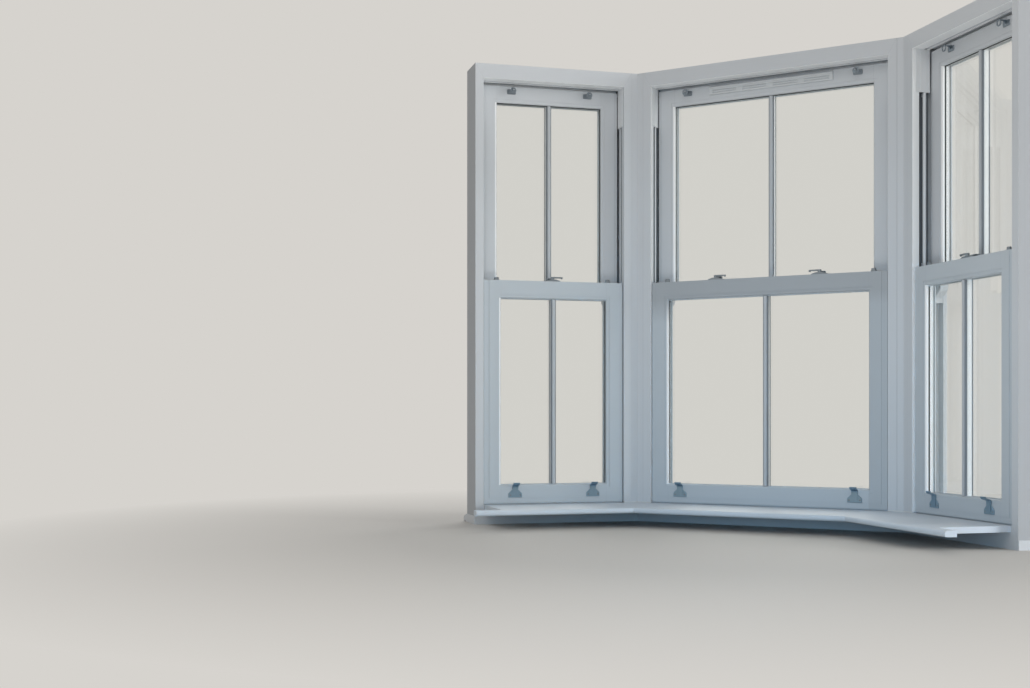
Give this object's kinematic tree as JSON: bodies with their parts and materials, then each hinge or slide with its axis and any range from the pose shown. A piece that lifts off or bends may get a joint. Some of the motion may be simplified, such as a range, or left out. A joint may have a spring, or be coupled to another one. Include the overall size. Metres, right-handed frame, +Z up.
{
  "type": "sash window bay",
  "caption": "Canted bay of sliding sash windows with glazing bars, corner posts, window board and projecting cill.",
  "frame": {"origin": "centre of the bounding box at the underside of the projecting cill", "axes": "+X to the right as seen from the room, along the centre light; +Y outward, away from the room; +Z up"},
  "size_m": [2.1598, 0.8798, 1.704],
  "materials": {
    "white_upvc": "smooth satin white extrusions",
    "vent_plastic": "moulded white",
    "tube_plastic": "pale grey tube",
    "clear_glass": "clear float glass",
    "black_rubber": "matt gasket",
    "spacer_metal": "mill",
    "pole_steel": "galvanised",
    "satin_chrome": "satin chrome plated",
    "board_paint": "white eggshell paint"
  },
  "bodies": {
    "root": {"balance_tubes": "tube_plastic", "bay_poles": "pole_steel", "cam_catches": "satin_chrome", "catch_keeps": "satin_chrome", "centre_cill": "white_upvc", "centre_frame_bottom": "white_upvc", "centre_frame_head": "white_upvc", "centre_glazing_bars": "white_upvc", "centre_jamb_left": "white_upvc", "centre_jamb_right": "white_upvc", "centre_lower_glass": "clear_glass", "centre_lower_sash": "white_upvc", "centre_upper_glass": "clear_glass", "centre_upper_sash": "white_upvc", "centre_window_board": "board_paint", "cill_caps": "white_upvc", "glass_gaskets": "black_rubber", "left_cill": "white_upvc", "left_corner_post": "white_upvc", "left_frame_bottom": "white_upvc", "left_frame_head": "white_upvc", "left_glazing_bars": "white_upvc", "left_jamb_left": "white_upvc", "left_jamb_right": "white_upvc", "left_lower_glass": "clear_glass", "left_lower_sash": "white_upvc", "left_upper_glass": "clear_glass", "left_upper_sash": "white_upvc", "left_window_board": "board_paint", "right_cill": "white_upvc", "right_corner_post": "white_upvc", "right_frame_bottom": "white_upvc", "right_frame_head": "white_upvc", "right_glazing_bars": "white_upvc", "right_jamb_left": "white_upvc", "right_jamb_right": "white_upvc", "right_lower_glass": "clear_glass", "right_lower_sash": "white_upvc", "right_upper_glass": "clear_glass", "right_upper_sash": "white_upvc", "right_window_board": "board_paint", "sash_lifts": "satin_chrome", "sash_pulls": "satin_chrome", "spacer_bars": "spacer_metal", "tilt_knobs": "satin_chrome", "track_covers": "white_upvc", "trickle_vent": "vent_plastic", "vent_hood": "vent_plastic"}
  },
  "joints": []
}
